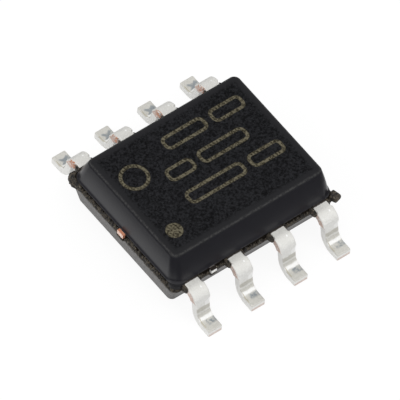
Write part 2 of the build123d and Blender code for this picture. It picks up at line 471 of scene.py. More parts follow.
def wall_resin():
    """Smooth side of the upper half, with the faintest mottling."""
    material, tree, shader = start_material("resin_wall")
    here = place(tree)
    colour = blend(tree, grain(tree, here, *MOTTLING), WALL_DARK, WALL_LIGHT)
    dress(tree, shader, colour, WALL_ROUGHNESS)
    bump(tree, grain(tree, here, WALL_GRAIN), WALL_GRAIN_DEPTH, shader)
    return material


resin_wall = wall_resin()
print("made", resin_wall.name)

# %% [markdown]
# Along the parting line the flash was torn off when the package was trimmed. The number
# "torn" says how far a point lies in the torn zone. Noise is added to it before it is used,
# so the torn zone ends in crumbs. The lower half is smooth and shares this finish, because
# the two run into each other. Under the foot of the upper half is a set-back gap; its finish
# is painted shade: black with a little brown, and without any shine.

# %% Torn resin and the lower half
LOWER_DARK = (0.0040, 0.0036, 0.0036, 1.0)
LOWER_LIGHT = (0.085, 0.072, 0.064, 1.0)
CRUMB_DARK = (0.0030, 0.0026, 0.0021, 1.0)
CRUMB_LIGHT = (0.080, 0.064, 0.044, 1.0)
CRUMB_GLINT = (0.26, 0.235, 0.18, 1.0)
GAP_SHADE_BLACK = (0.0030, 0.0026, 0.0022, 1.0)
GAP_SHADE_BROWN = (0.0180, 0.0140, 0.0100, 1.0)
CRUMBS = (0.060, 3.0, 0.65)
CRUMB_RANGE = (0.40, 0.64)
CRUMB_SCATTER = 1.6
CRUMB_DEPTH = 0.030
GLINT_SPOTS = (0.042, 1.0)
GLINT_RANGE = (0.67, 0.74)
TORN_RANGE = (0.35, 0.65)
BLOTCHES = (0.07, 3.0, 0.7)
BLOTCH_RANGE = (0.30, 0.70)
TORN_ROUGHNESS = (0.36, 0.70)
SMOOTH_BUMP_SHARE = 0.30
GAP_BLOTCH = 0.04
GAP_ROUGHNESS = 0.9
GAP_SPECULAR = 0.05


def torn_resin():
    """Lower half and flash: smooth grey-black resin that turns to brown crumbs with pale glints."""
    material, tree, shader = start_material("resin_torn")
    here = place(tree)
    crumbs = grain(tree, here, *CRUMBS)
    spots = grain(tree, here, *GLINT_SPOTS)
    rough_part = fade(tree, varied(tree, stored(tree, "torn"), crumbs, CRUMB_SCATTER), *TORN_RANGE)
    colour = blend(tree, fade(tree, crumbs, *CRUMB_RANGE), CRUMB_DARK, CRUMB_LIGHT)
    colour = blend(tree, fade(tree, spots, *GLINT_RANGE), colour, CRUMB_GLINT)
    blotches = fade(tree, grain(tree, here, *BLOTCHES), *BLOTCH_RANGE)
    smooth = blend(tree, blotches, LOWER_DARK, LOWER_LIGHT)
    roughness = fade(tree, rough_part, 0.0, 1.0, *TORN_ROUGHNESS)
    dress(tree, shader, blend(tree, rough_part, smooth, colour), roughness)
    height = calc(tree, "MULTIPLY", crumbs, fade(tree, rough_part, 0.0, 1.0, SMOOTH_BUMP_SHARE, 1.0))
    bump(tree, height, CRUMB_DEPTH, shader)
    return material


def gap_shade_resin():
    """Painted shade for the gap under the upper half: black with a little brown, and no shine."""
    material, tree, shader = start_material("resin_gap_shade")
    colour = blend(tree, grain(tree, place(tree), GAP_BLOTCH), GAP_SHADE_BLACK, GAP_SHADE_BROWN)
    dress(tree, shader, colour, GAP_ROUGHNESS, GAP_SPECULAR)
    return material


resin_torn = torn_resin()
resin_gap_shade = gap_shade_resin()
print("made", resin_torn.name, "and", resin_gap_shade.name)

# %% [markdown]
# ### The form of the moulding
# A level cut through the body is a rounded rectangle. Its point at a place u round the
# outline is P(u) = c(u) * (a - r, b - r) + r * (cos f(u), sin f(u)): c walks round the four
# corners of a square, f is the direction outwards. All cuts share c and f, so the cuts stack
# into rings that line up, and the whole skin is one grid of points.

# %% Outline shared by all cuts
SIDE_STEPS = 244
END_STEPS = 196
CORNER_STEPS = 24


def outline_walk():
    """Corner factor c and direction f for each place round the outline."""
    corners = np.array([[1, 1], [-1, 1], [-1, -1], [1, -1]], float)
    factors, directions = [], []
    for quarter, here in enumerate(corners):
        after = corners[(quarter + 1) % len(corners)]
        turn = np.linspace(0, 1, CORNER_STEPS, endpoint=False)
        factors.append(np.repeat(here[None], CORNER_STEPS, 0))
        directions.append(np.radians(90 * (quarter + turn)))
        steps = SIDE_STEPS if quarter % 2 == 0 else END_STEPS
        along = np.linspace(0, 1, steps, endpoint=False)[:, None]
        factors.append(here + (after - here) * along)
        directions.append(np.full(steps, np.radians(90 * (quarter + 1))))
    return np.concatenate(factors), np.concatenate(directions)


walk_corner, walk_angle = outline_walk()
walk_normal = np.column_stack([np.cos(walk_angle), np.sin(walk_angle), np.zeros(len(walk_angle))])
COLUMNS = len(walk_angle)


def ring_points(half_sizes, radii, heights):
    """Stack of outlines: one row of points for each pair of half sizes, radius and height."""
    half_sizes, radii, heights = (np.asarray(part, float) for part in (half_sizes, radii, heights))
    flat = walk_corner[None] * (half_sizes - radii[:, None])[:, None, :]
    flat = flat + radii[:, None, None] * walk_normal[None, :, :2]
    level = np.broadcast_to(heights[:, None, None], flat.shape[:2] + (1,))
    return np.concatenate([flat, level], -1)


print("points round the outline", COLUMNS)

# %% [markdown]
# A half of the moulding is a drafted wall that ends in a rounded edge. With the distance
# `rise` from the parting line, the wall's reach is foot - rise * tan(draft), and past the
# point where the edge's circle touches it, the reach is hc + sqrt(R^2 - (rise - rc)^2).
# The real walls aren't dead flat: with s from 0 at the foot to 1 at the edge they belly out
# by belly * 4 s (1 - s).

# %% Profile of one half
EDGE_START = np.radians(8)


def half_reach(rise, foot, height, edge_radius, belly=0.0):
    """Reach of both walls at each rise, as (rows, 2): end walls first, side walls second."""
    rise = np.asarray(rise, float)[:, None]
    circle_rise = height - edge_radius
    circle_reach = foot - (circle_rise * np.sin(draft) + edge_radius) / np.cos(draft)
    touch = circle_rise + edge_radius * np.sin(draft)
    share = np.clip(rise / touch, 0, 1)
    wall = foot - rise * np.tan(draft) + belly * 4 * share * (1 - share)
    inside = np.clip(edge_radius ** 2 - (rise - circle_rise) ** 2, 0, None)
    edge = circle_reach + np.sqrt(inside)
    return np.where(rise > touch, edge, wall)


def half_rings(rise, foot, height, edge_radius, corner_foot, corner_end, belly=0.0):
    """Half sizes and corner radii of one half; the radius shrinks as the edge rounds inward."""
    rise = np.asarray(rise, float)
    reach = half_reach(rise, foot, height, edge_radius, belly)
    plain = foot - rise[:, None] * np.tan(draft)
    radius = corner_foot + (corner_end - corner_foot) * rise / height
    return reach, radius - np.mean(np.clip(plain - reach, 0, None), axis=1)


def edge_rises(height, edge_radius, steps):
    """Rises at even turns round the edge's circle, from the wall to the flat face."""
    turn = np.linspace(EDGE_START, np.pi / 2, steps)
    return height - edge_radius + edge_radius * np.sin(turn)


# %% [markdown]
# Both halves use the same profile. The heights at which it is cut into rings lie close
# together where the form turns: at the lip over the gap, in the torn zone and on the edges.

# %% Heights of the rings
UPPER_HEIGHT = crown_z - frame_top
LOWER_HEIGHT = frame_bottom - base_z
TOP_EDGE = 0.10
BOTTOM_EDGE = 0.06
LIP_FLARE = 0.04
LIP_HEIGHT = 0.07
UPPER_CORNERS = (0.30, 0.16)
RIM_RADIUS = 0.18
BASE_RADIUS = 0.14
WALL_BELLY = 0.010
TORN_DROP = 0.17
TORN_DROP_SIDES = 0.05
LIP_RINGS = 6
UPPER_WALL_RINGS = 9
TOP_EDGE_RINGS = 12
TORN_RINGS = 9
LOWER_WALL_RINGS = 5
BOTTOM_EDGE_RINGS = 7

upper_rise = np.concatenate([
    np.linspace(0.0, LIP_HEIGHT, LIP_RINGS, endpoint=False),
    np.linspace(LIP_HEIGHT, UPPER_HEIGHT - TOP_EDGE, UPPER_WALL_RINGS, endpoint=False),
    edge_rises(UPPER_HEIGHT, TOP_EDGE, TOP_EDGE_RINGS),
])
lower_rise = np.concatenate([
    np.linspace(0.0, TORN_DROP, TORN_RINGS, endpoint=False),
    np.linspace(TORN_DROP, LOWER_HEIGHT - BOTTOM_EDGE, LOWER_WALL_RINGS, endpoint=False),
    edge_rises(LOWER_HEIGHT, BOTTOM_EDGE, BOTTOM_EDGE_RINGS),
])
print("rings above and below the parting line", len(upper_rise), len(lower_rise))

# %% [markdown]
# ### The skin
# Lower half, band, upper half and the outer part of the top face are one stack of rings. The
# foot of the upper half flares out into a thin lip over the gap: the flare is
# (1 - rise / lip height)^1.4 of the lip's width.

# %% Rings of the whole skin
BAND_ROWS = 15
BAND_SHARES = (0.01, 0.98)
TOP_INSETS = (0.03, 0.06, 0.09, 0.12, 0.16)
LIP_POWER = 1.4
SMALLEST_RADIUS = 0.01

lower_size, lower_radius = half_rings(
    lower_rise, lower_half_size, LOWER_HEIGHT, BOTTOM_EDGE, RIM_RADIUS, BASE_RADIUS)
lip_draft = LIP_HEIGHT * np.tan(draft)
upper_foot = upper_half_size - LIP_FLARE + lip_draft
upper_size, upper_radius = half_rings(
    upper_rise, upper_foot, UPPER_HEIGHT, TOP_EDGE, *UPPER_CORNERS, belly=WALL_BELLY)
flare = np.clip(1 - upper_rise / LIP_HEIGHT, 0, None) ** LIP_POWER
upper_size = upper_size + (flare * (LIP_FLARE - lip_draft[:, None])).T

band_share = np.linspace(*BAND_SHARES, BAND_ROWS)
band_size = np.repeat(flash_half_size[None], BAND_ROWS, 0)
inset = np.array(TOP_INSETS)
top_size = upper_size[-1] - inset[:, None]
top_radius = np.clip(upper_radius[-1] - inset, SMALLEST_RADIUS, None)

skin_size = np.concatenate([lower_size[::-1], band_size, upper_size, top_size])
band_radius = np.full(BAND_ROWS, RIM_RADIUS)
skin_radius = np.concatenate([lower_radius[::-1], band_radius, upper_radius, top_radius])
skin_z = np.concatenate([
    frame_bottom - lower_rise[::-1], frame_bottom + frame_thickness * band_share,
    frame_top + upper_rise, np.full(len(inset), crown_z)])
skin = ring_points(skin_size, skin_radius, skin_z)
ROWS = len(skin)
first_band = len(lower_rise)
first_upper = first_band + BAND_ROWS
first_top = ROWS - len(inset)
print("skin grid", skin.shape)

# %% [markdown]
# ### The torn band
# Between the halves lies a band as high as the lead frame. Its face is torn, so every ring is
# pushed in and out along the outline's normal by noise, and the tear eats a little way into
# the lower half, most of all at the left end. Right under the upper half the band is set
# back, which leaves a gap with a ragged lower edge, painted black as shade. At the front left
# corner the resin stayed smooth, and a slit opened under it, painted black as shade too.
# Where metal of the lead frame ends flush with the band, torn resin clings to its lower part.

# %% Measures of the tear
BAND_ROUGHNESS = 0.017
RIM_ROUGHNESS = 0.010
LEFT_ROUGHER = 0.6
TEAR_LAYERS = ((0.65, 0.062, 0.0), (0.50, 0.027, 7.0))
GROOVE_DEPTH = 0.045
GROOVE_EDGE = 0.34
GROOVE_SLOPE = 0.10
GROOVE_EDGE_WANDER = 0.38
WANDER_LAYERS = ((0.7, 0.07, 0.0), (0.5, 0.032, 5.0))
SMOOTH_FOOT = 0.22
SLIT_X = (-2.40, -2.11)
SLIT_HEIGHT = 0.075
SLIT_DEPTH = 0.07
TIE_BAR_HALF = 0.11
TAB_X = -1.27
TAB_HALF = 0.0775
END_BEYOND_X = 2.2
FRONT_BELOW_Y = -1.5
CLINGING = 0.078
CLINGING_TOP = 0.40
UNTORN_X = -2.05
UNTORN_Y = -1.72
UNTORN_SLOPE = 0.06
NEAR_MARGIN = 0.035
NEAR_SLOPE = 0.02


def near(value, middle, half_width):
    """1 within half_width and a little margin of the middle, falling to 0 over a short slope."""
    return np.clip((half_width + NEAR_MARGIN - np.abs(value - middle)) / NEAR_SLOPE, 0, 1)


print("tear along the normal in mm", BAND_ROUGHNESS, "gap depth", GROOVE_DEPTH)

# %% [markdown]
# Each measure is an array over the whole grid, from 0 where it has no say to 1 where it has
# its full say. A point's push is its noise times these arrays, less the depth of the gap and
# of the slit.

# %% Tear the band and the rim
left_end = np.clip(-walk_normal[:, 0], 0, 1)[None]
drop = TORN_DROP_SIDES + (TORN_DROP - TORN_DROP_SIDES) * left_end
below = np.clip((frame_bottom - skin[..., 2]) / drop, 0, None)
torn = np.where(np.arange(ROWS)[:, None] < first_upper, np.clip(1 - below, 0, 1), 0.0)
share = np.clip((skin[..., 2] - frame_bottom) / frame_thickness, 0, 1)
in_band = np.zeros((ROWS, COLUMNS))
in_band[first_band:first_upper] = 1.0
torn = torn * np.where(in_band > 0, np.clip(share / SMOOTH_FOOT + left_end, 0, 1), 1.0)
edge_walk = skin * np.array([1, 1, 0])
groove_edge = GROOVE_EDGE + GROOVE_EDGE_WANDER * layered_noise(edge_walk, WANDER_LAYERS)
at_tie_bar = near(skin[..., 1], 0.0, TIE_BAR_HALF)
at_tab = near(skin[..., 0], TAB_X, TAB_HALF) * (skin[..., 1] < 0)
beside_metal = np.maximum(at_tie_bar * (np.abs(skin[..., 0]) > END_BEYOND_X), at_tab)
at_corner = np.clip((UNTORN_X - skin[..., 0]) / UNTORN_SLOPE, 0, 1)
at_corner = at_corner * np.clip((UNTORN_Y - skin[..., 1]) / UNTORN_SLOPE, 0, 1)
groove = in_band * np.clip((share - groove_edge) / GROOVE_SLOPE, 0, 1) * (1 - at_corner)
reach = BAND_ROUGHNESS * in_band + RIM_ROUGHNESS * torn * (1 - in_band)
push = layered_noise(skin, TEAR_LAYERS) * reach
push = push * (1 + LEFT_ROUGHER * left_end) * (1 - at_corner)
push = (push - GROOVE_DEPTH * groove) * (1 - beside_metal * in_band)
push = push + CLINGING * beside_metal * in_band * (share < CLINGING_TOP)
in_slit = (skin[..., 0] > SLIT_X[0]) & (skin[..., 0] < SLIT_X[1])
in_slit = in_slit & (skin[..., 1] < FRONT_BELOW_Y) & (in_band > 0)
in_slit = in_slit & (share < SLIT_HEIGHT / frame_thickness)
push = push - SLIT_DEPTH * in_slit
# The slit takes the gap's painted shade as well.
groove = np.maximum(groove, in_slit)
skin = skin + push[..., None] * walk_normal[None]
print("push in mm", round(push.min(), 3), "to", round(push.max(), 3))

# %% [markdown]
# The finishes need to know where on the skin they are. Some numbers are kept on its points
# for that: "grained" fades in on the top face, a bell curve across the rounded top edge says
# where wear and a painted highlight lighten it, and "torn" was made with the tear.

# %% Numbers stored on the points of the skin
GRAIN_FROM = 0.05
GRAIN_OVER = 0.09
CREASE_MIDDLE = 0.08
CREASE_WIDTH = 0.40
MATTE_RINGS = 9

grained = np.zeros((ROWS, COLUMNS))
grained[first_top:] = np.clip((inset - GRAIN_FROM) / GRAIN_OVER, 0, 1)[:, None]
crease = (np.linspace(-1, 1, TOP_EDGE_RINGS) - CREASE_MIDDLE) / CREASE_WIDTH
worn = np.zeros((ROWS, COLUMNS))
worn[first_top - TOP_EDGE_RINGS:first_top] = np.exp(-crease ** 2)[:, None]
print("largest wear", round(worn.max(), 3))

# %% [markdown]
# ### One mesh for the moulding
# Skin, faces and lumps become one mesh with four finishes. A small class keeps the count of
# points, so that each part can be added on its own. The skin comes first. Its top rings and
# the untorn corner have the matte finish of the top face, with the crease's painted highlight,
# the upper walls have the smooth one, band and lower half share the torn one, and the gap
# and slit have the black one of painted shade.

# %% Collect the parts of the moulding
class Moulding:
    """Points, faces, material numbers and point values of the moulding, added part by part."""

    def __init__(self):
        self.count = 0
        self.points, self.faces, self.zones = [], [], []
        self.values = {"grained": [], "worn": [], "torn": []}

    def add_points(self, points, **values):
        """Adds points, with a number or an array for each named value, and returns where they start."""
        start = self.count
        self.points.append(points)
        self.count += len(points)
        for key, parts in self.values.items():
            parts.append(np.broadcast_to(np.asarray(values.get(key, 0.0), float), len(points)))
        return start

    def add_faces(self, faces, zone):
        """Adds faces that share one material number, or have one each."""
        self.faces.extend(faces.tolist())
        self.zones.append(np.broadcast_to(zone, len(faces)))


TOP, WALL, TORN, SHADED_GAP = range(4)
MOSTLY = 0.5
moulding = Moulding()
moulding.add_points(
    skin.reshape(-1, 3), grained=grained.ravel(), worn=worn.ravel(), torn=torn.ravel())
row_of_face = np.repeat(np.arange(ROWS - 1), COLUMNS)
zone = np.where(row_of_face < first_upper, TORN, WALL)
zone = np.where((at_corner * in_band)[:-1].ravel() > MOSTLY, TOP, zone)
# Painted shade: the gap and the slit get the black finish without shine.
zone = np.where(groove[:-1].ravel() > MOSTLY, SHADED_GAP, zone)
zone = np.where(row_of_face >= first_top - MATTE_RINGS, TOP, zone)
moulding.add_faces(tube_faces(ROWS, COLUMNS), zone)
print("faces of the skin", len(moulding.faces))

# %% [markdown]
# ### Top and bottom faces
# The top face is closed by rings that change from the outline to the small round mark beside
# lead 1, which is a shallow laser-cut dish. The bottom has two round marks where pins pushed
# the package out of the mould, so it is closed in two halves, each with rings round its own
# mark. A ring between outline B and circle C is B + (C - B) * t, with t from `SHARES`. The
# rings inside the circle come from `DISH`, as (share of the radius, share of the depth).

# %% Close the top and the bottom
MARK_DEPTH = -0.012
EJECTOR_RADIUS = 0.40
EJECTOR_X = 1.35
EJECTOR_DEPTH = 0.03
SHARES = (0.1, 0.3, 0.6, 0.9, 0.97)
DISH = ((1.0, 0.0), (0.985, 0.15), (0.955, 0.85), (0.93, 1.0), (0.5, 1.0))
MIDDLE_GAP = 1e-9


def rings_to_circle(loop, centre, radius, depth):
    """Rings from a closed loop to a circle, then down a step of the given depth to the pole."""
    centre = np.array([centre[0], centre[1], loop[0, 2]])
    ray = loop - centre
    circle = centre + radius * ray / np.linalg.norm(ray, axis=1, keepdims=True)
    rings = [loop + (circle - loop) * t for t in SHARES]
    sink = np.array([0.0, 0.0, depth])
    rings += [centre + (circle - centre) * factor + sink * level for factor, level in DISH]
    return np.array(rings), centre + sink


rings, pole = rings_to_circle(skin[-1], MARK_CENTRE, MARK_RADIUS, MARK_DEPTH)
last_ring = moulding.count - COLUMNS
moulding.add_points(np.concatenate([rings.reshape(-1, 3), pole[None]]), grained=1.0)
moulding.add_faces(tube_faces(len(rings) + 1, COLUMNS, last_ring), TOP)
moulding.add_faces(fan_faces(moulding.count - 1 - COLUMNS, COLUMNS, moulding.count - 1), TOP)


def bottom_loop(side):
    """Outline of the right (+1) or left (-1) half of the bottom face, closed by the middle seam."""
    loop = skin[0]
    chosen = loop[side * loop[:, 0] > MIDDLE_GAP]
    chosen = chosen[np.argsort(np.arctan2(chosen[:, 1], side * chosen[:, 0]))]
    edge_y = np.abs(loop[:, 1]).max()
    seam_y = np.linspace(edge_y, -edge_y, END_STEPS + 1)
    seam = np.column_stack([np.zeros(len(seam_y)), seam_y, np.full(len(seam_y), loop[0, 2])])
    return np.concatenate([chosen, seam])


for side in (1, -1):
    loop = bottom_loop(side)
    rings, pole = rings_to_circle(loop, (side * EJECTOR_X, 0.0), EJECTOR_RADIUS, EJECTOR_DEPTH)
    stack = np.concatenate([loop, rings.reshape(-1, 3), pole[None]])
    first = moulding.add_points(stack)
    quads = tube_faces(len(rings) + 1, len(loop), first)
    caps = fan_faces(moulding.count - 1 - len(loop), len(loop), moulding.count - 1)
    if side > 0:
        quads, caps = quads[:, ::-1], caps[:, ::-1]
    moulding.add_faces(quads, TORN)
    moulding.add_faces(caps, TORN)
print("points of the moulding so far", moulding.count)

# %% [markdown]
# ### Flash stubs and torn lumps
# Beside each lead a stub of flash fills the way from the body to the place of the dam bar,
# which was cut out. Two torn lumps hang on opposite corners, where the resin ran in and
# where the air ran out. Seen from above, each is a loop through a few corners. Its rings
# shrink towards top and bottom by (1 - |2t - 1|^n)^(1/n), and noise roughens them.

# %% Form of a lump
LUMP_ROWS = 11
LUMP_POWER = 3.5
LUMP_LAYERS = ((1.0, 0.040, 0.0), (0.6, 0.019, 3.0))
SOFTENING_PASSES = 2


def rounded_loop(corners, columns):
    """Closed loop through the corners, evenly divided, then softened: each point becomes
    (the one before + 2 * itself + the one after) / 4."""
    corners = np.asarray(corners, float)
    after = np.roll(corners, -1, 0)
    share = np.linspace(0, 1, columns // len(corners), endpoint=False)[None, :, None]
    loop = (corners[:, None] + (after - corners)[:, None] * share).reshape(-1, 2)
    turning = loop[:, 0] * np.roll(loop[:, 1], -1) - loop[:, 1] * np.roll(loop[:, 0], -1)
    loop = loop if turning.sum() > 0 else loop[::-1]
    for _ in range(SOFTENING_PASSES):
        loop = (np.roll(loop, 1, 0) + 2 * loop + np.roll(loop, -1, 0)) / 4
    return loop


def add_lump(corners, low, high, columns, roughness):
    """Adds one lump: a stack of shrinking loops with a pole at each end."""
    loop = rounded_loop(corners, columns)
    columns = len(loop)
    centre = loop.mean(0)
    t = (1 - np.cos(np.linspace(0, np.pi, LUMP_ROWS + 2)[1:-1])) / 2
    shrink = (1 - np.abs(2 * t - 1) ** LUMP_POWER) ** (1 / LUMP_POWER)
    flat = centre + (loop - centre)[None] * shrink[:, None, None]
    level = np.broadcast_to((low + (high - low) * t)[:, None, None], (LUMP_ROWS, columns, 1))
    stack = np.concatenate([flat, level], -1)
    noise = layered_noise(stack, LUMP_LAYERS)
    ray = (loop - centre) / np.linalg.norm(loop - centre, axis=1, keepdims=True)
    stack[..., :2] += roughness * noise[..., None] * ray[None]
    poles = np.array([[*centre, low], [*centre, high]])
    first = moulding.add_points(np.concatenate([stack.reshape(-1, 3), poles]), torn=1.0)
    moulding.add_faces(tube_faces(LUMP_ROWS, columns, first), TORN)
    moulding.add_faces(fan_faces(first, columns, moulding.count - 2, inward=True), TORN)
    moulding.add_faces(fan_faces(moulding.count - 2 - columns, columns, moulding.count - 1), TORN)


print("rings of a lump", LUMP_ROWS)

# %% [markdown]
# The stub's plan is given beside one lead, as (distance from the lead's side, y). On the
# left of every lead the stub broke off a little farther out and hangs lower.

# %% Lumps of torn resin
LEAD_WIDTH = 0.39
STUB_START_Y = 1.92
STUB_PLAN = (
    (0.0, STUB_START_Y), (0.078, STUB_START_Y), (0.070, 2.05),
    (0.050, 2.115), (0.018, 2.15), (0.0, 2.14))
STUB_SINK = 0.004
STUB_TIP_Y = 2.1
STUB_LEFT_LONGER = 0.025
STUB_LEFT_LOWER = 0.05
STUB_LOW = frame_bottom + 0.005
STUB_HIGH = frame_top - 0.012
STUB_COLUMNS = 30
STUB_ROUGHNESS = 0.007
GATE_PLAN = ((2.450, -1.84), (2.508, -2.09), (2.31, -2.148), (2.17, -1.865))
GATE_HEIGHTS = (0.780, 0.965)
GATE_COLUMNS = 48
GATE_ROUGHNESS = 0.006
VENT_PLAN = (
    (-2.482, 1.81), (-2.385, 1.54), (-2.25, 1.75), (-2.20, 1.93),
    (-2.20, 2.09), (-2.34, 2.10), (-2.43, 2.03), (-2.475, 1.93))
VENT_HEIGHTS = (0.70, 0.93)
VENT_COLUMNS = 60
VENT_ROUGHNESS = 0.016

for row_side in (1, -1):
    for number in range(leads_per_side):
        lead_x = row_half - number * lead_pitch
        for beside in (-1, 1):
            face_x = lead_x + beside * (LEAD_WIDTH / 2 - STUB_SINK)
            on_left = row_side * beside < 0
            stub = np.array(STUB_PLAN)
            stub[:, 0] = face_x + beside * stub[:, 0]
            stub[:, 1] += STUB_LEFT_LONGER * on_left * (stub[:, 1] > STUB_TIP_Y)
            stub_low = STUB_LOW - STUB_LEFT_LOWER * on_left
            add_lump(row_side * stub, stub_low, STUB_HIGH, STUB_COLUMNS, STUB_ROUGHNESS)
add_lump(GATE_PLAN, *GATE_HEIGHTS, GATE_COLUMNS, GATE_ROUGHNESS)
add_lump(VENT_PLAN, *VENT_HEIGHTS, VENT_COLUMNS, VENT_ROUGHNESS)
print("points with the lumps", moulding.count)

# %% [markdown]
# Skin and bottom face meet along the same points, and so do the two halves of the bottom
# face. Points that agree when rounded are made one, which closes the seams. The lumps stay
# closed shells of their own that sink a little into the skin.

# %% Put the moulding together
WELD_DECIMALS = 5
points = np.concatenate(moulding.points)
_, first_seen, welded = np.unique(
    np.round(points, WELD_DECIMALS), axis=0, return_index=True, return_inverse=True)
welded = welded.ravel()
faces = [[welded[corner] for corner in face] for face in moulding.faces]
values = {key: np.concatenate(parts)[first_seen] for key, parts in moulding.values.items()}
resin_piece = put_mesh(
    "moulded_resin", points[first_seen], faces, (resin_top, resin_wall, resin_torn, resin_gap_shade),
    np.concatenate(moulding.zones), values)
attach(resin_piece, "root")
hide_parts("mould_body")
print("moulding", len(first_seen), "points", len(faces), "faces")

# %% [markdown]
# ## Leads
# A lead is stamped from copper alloy, plated with matte tin and bent twice: down over the
# shoulder and out again at the heel. The plan is cut first, so the cut sides show copper
# where the dam bar was sheared off after plating. A profile carried along a path fits this:
# the path is line, arc, line, arc, line, and the profile is a rounded rectangle whose two
# half widths follow the stamped plan.

# %% Path of a lead
PATH_SAMPLES = 6000
LEG_ANGLE = np.radians(11.0)
SHOULDER_RADIUS = 0.27
HEEL_RADIUS = 0.34
SHOULDER_REACH = 0.40
BEND = np.pi / 2 - LEG_ANGLE
frame_middle = frame_top - frame_thickness / 2
foot_middle = frame_thickness / 2
shoulder_y = upper_half_size[1] + SHOULDER_REACH
heel_y = shoulder_y + (frame_middle - foot_middle) * np.tan(LEG_ANGLE)


def lead_path(start_y, step):
    """Centre line from start_y to the toe: length so far, y, z and slope at points a step apart."""
    first_tangent = SHOULDER_RADIUS * np.tan(BEND / 2)
    second_tangent = HEEL_RADIUS * np.tan(BEND / 2)
    leg = (frame_middle - foot_middle) / np.cos(LEG_ANGLE) - first_tangent - second_tangent
    lengths = np.array([
        shoulder_y - first_tangent - start_y, SHOULDER_RADIUS * BEND, leg, HEEL_RADIUS * BEND,
        toe_y - heel_y - second_tangent])
    turns = np.array([0, -BEND, 0, BEND, 0])
    count = int(lengths.sum() / step)
    s = np.linspace(0, lengths.sum(), count)
    knots = np.concatenate([[0], np.cumsum(lengths)])
    slopes = np.concatenate([[0], np.cumsum(turns)])
    slope = np.interp(s, knots, slopes)
    fine = np.linspace(0, lengths.sum(), PATH_SAMPLES)
    fine_slope = np.interp(fine, knots, slopes)
    y = start_y + np.concatenate([[0], np.cumsum(np.cos(fine_slope[:-1]) * np.diff(fine))])
    z = frame_middle + np.concatenate([[0], np.cumsum(np.sin(fine_slope[:-1]) * np.diff(fine))])
    return s, np.interp(s, fine, y), np.interp(s, fine, z), slope


print("leg leans", round(90 - np.degrees(BEND), 1), "degrees; shoulder at y", round(shoulder_y, 3))

# %% [markdown]
# The half width along the lead comes from its plan: a wide anchor inside the resin, the
# plain width of the leg, and the small stubs where the dam bar was cut, which stand out a
# little and have slanted ends. `smooth_step` rounds each change of width.

# %% Plan of a lead
STUB_RISE = (2.18, 2.20)
STUB_FALL = (2.41, 2.43)
STUB_PROUD = 0.035
ANCHOR_RISE = (1.23, 1.25)
ANCHOR_FALL = (1.66, 1.70)
ANCHOR_HALF = 0.42
CORNER_ANCHOR_HALVES = (0.195, 0.435)
CORNER_TIP_Y = 1.08
CORNER_TIP_HALVES = (-0.115, 0.435)


def smooth_step(value, start, end):
    """0 before start, 1 after end, and level at both."""
    return smooth_share(np.clip((value - start) / (end - start), 0, 1))


def half_widths(y, inward):
    """Reach of a lead to its outer and inner side at each y; a middle lead has inward = 0."""
    past_start = smooth_step(y, *ANCHOR_RISE)
    in_anchor = past_start * (1 - smooth_step(y, *ANCHOR_FALL))
    in_stub = smooth_step(y, *STUB_RISE) * (1 - smooth_step(y, *STUB_FALL))
    plain = LEAD_WIDTH / 2 + STUB_PROUD * in_stub
    if inward == 0:
        both = plain + (ANCHOR_HALF - LEAD_WIDTH / 2) * in_anchor
        return both, both
    in_tip = 1 - past_start
    outer = plain + (CORNER_ANCHOR_HALVES[0] - LEAD_WIDTH / 2) * in_anchor
    outer = outer + (CORNER_TIP_HALVES[0] - LEAD_WIDTH / 2) * in_tip
    inner = plain + (CORNER_ANCHOR_HALVES[1] - LEAD_WIDTH / 2) * np.maximum(in_anchor, in_tip)
    return outer, inner


print("lead width", LEAD_WIDTH, "wider at the stubs by", 2 * STUB_PROUD)

# %% [markdown]
# The tin is matte. Bands of level lie across the lead: partly bright bands that the forming
# tools pressed in, partly a painted highlight with painted shade beside it on the heel bend,
# and painted light that evens out the shade on the leg. They are given as (distance from the
# toe, level), and the level goes from dull to bright.
# The stubs were sheared off after plating, and so was the toe, so copper shows there. A few
# smudges, a fine line and a glint sit on the foot and the shoulder. Each mark has edges, as
# (field, where the mark is missing, where it is full), and is the product of its fades. A
# picture wrapped round the lead could do the same, but would have to be painted first.

# %% Marks on a lead
TIN_DULL = (0.60, 0.585, 0.53, 1.0)
TIN_BRIGHT = (1.0, 1.0, 0.985, 1.0)
SMUDGE = (0.30, 0.33, 0.35, 1.0)
KHAKI = (0.50, 0.46, 0.34, 1.0)
COPPER = (0.60, 0.44, 0.38, 1.0)
COPPER_PALE = (0.78, 0.63, 0.56, 1.0)
COPPER_DEEP = (0.58, 0.27, 0.16, 1.0)
BLEED_AND_SHADE = (0.020, 0.014, 0.010, 1.0)
BAND_SPAN = 1.6
TOOL_BANDS_AND_LIGHT = (
    (0.00, 0.22), (0.15, 0.22), (0.20, 0.15), (0.36, 0.20), (0.41, 1.00), (0.49, 0.95),
    (0.54, 0.16), (0.63, 0.18), (0.67, 0.55), (0.71, 0.50), (0.74, 0.05), (0.82, 0.05),
    (0.87, 0.72), (1.02, 0.75), (1.12, 0.60), (1.30, 0.48), (1.50, 0.48))
BAND_WANDER = 0.09
GLINT_AT = (1.27, 0.088)
STAR_AT = (0.26, 0.02)
STAR_WANDER = 0.08
RUBBED_AND_LIT_SLANT = -0.385
LEAD_GRAINS = {
    "fine": (0.030, 2.0, 0.6), "cloud": (0.12, 3.0, 0.55), "blot": (0.09, 3.0, 0.70),
    "wash": (0.15, 2.0, 0.5), "streak": (0.075, 2.0, 0.6), "crumb": (0.06, 2.0, 0.6)}
ON_TOP = ("depth", 0.065, 0.09)
ON_SIDE = ("side", 0.185, 0.192)
IN_REAR_ROW = ("y", 0.0, 0.1)
RUBBED_AND_LIT = (("along", 0.84, 0.87), ("across", 0.03, 0.07), ("slanted", 0.96, 0.93))
SMUDGED = (("along", 0.14, 0.20), ("along", 0.39, 0.33), ON_TOP, ("across", -0.09, -0.02))
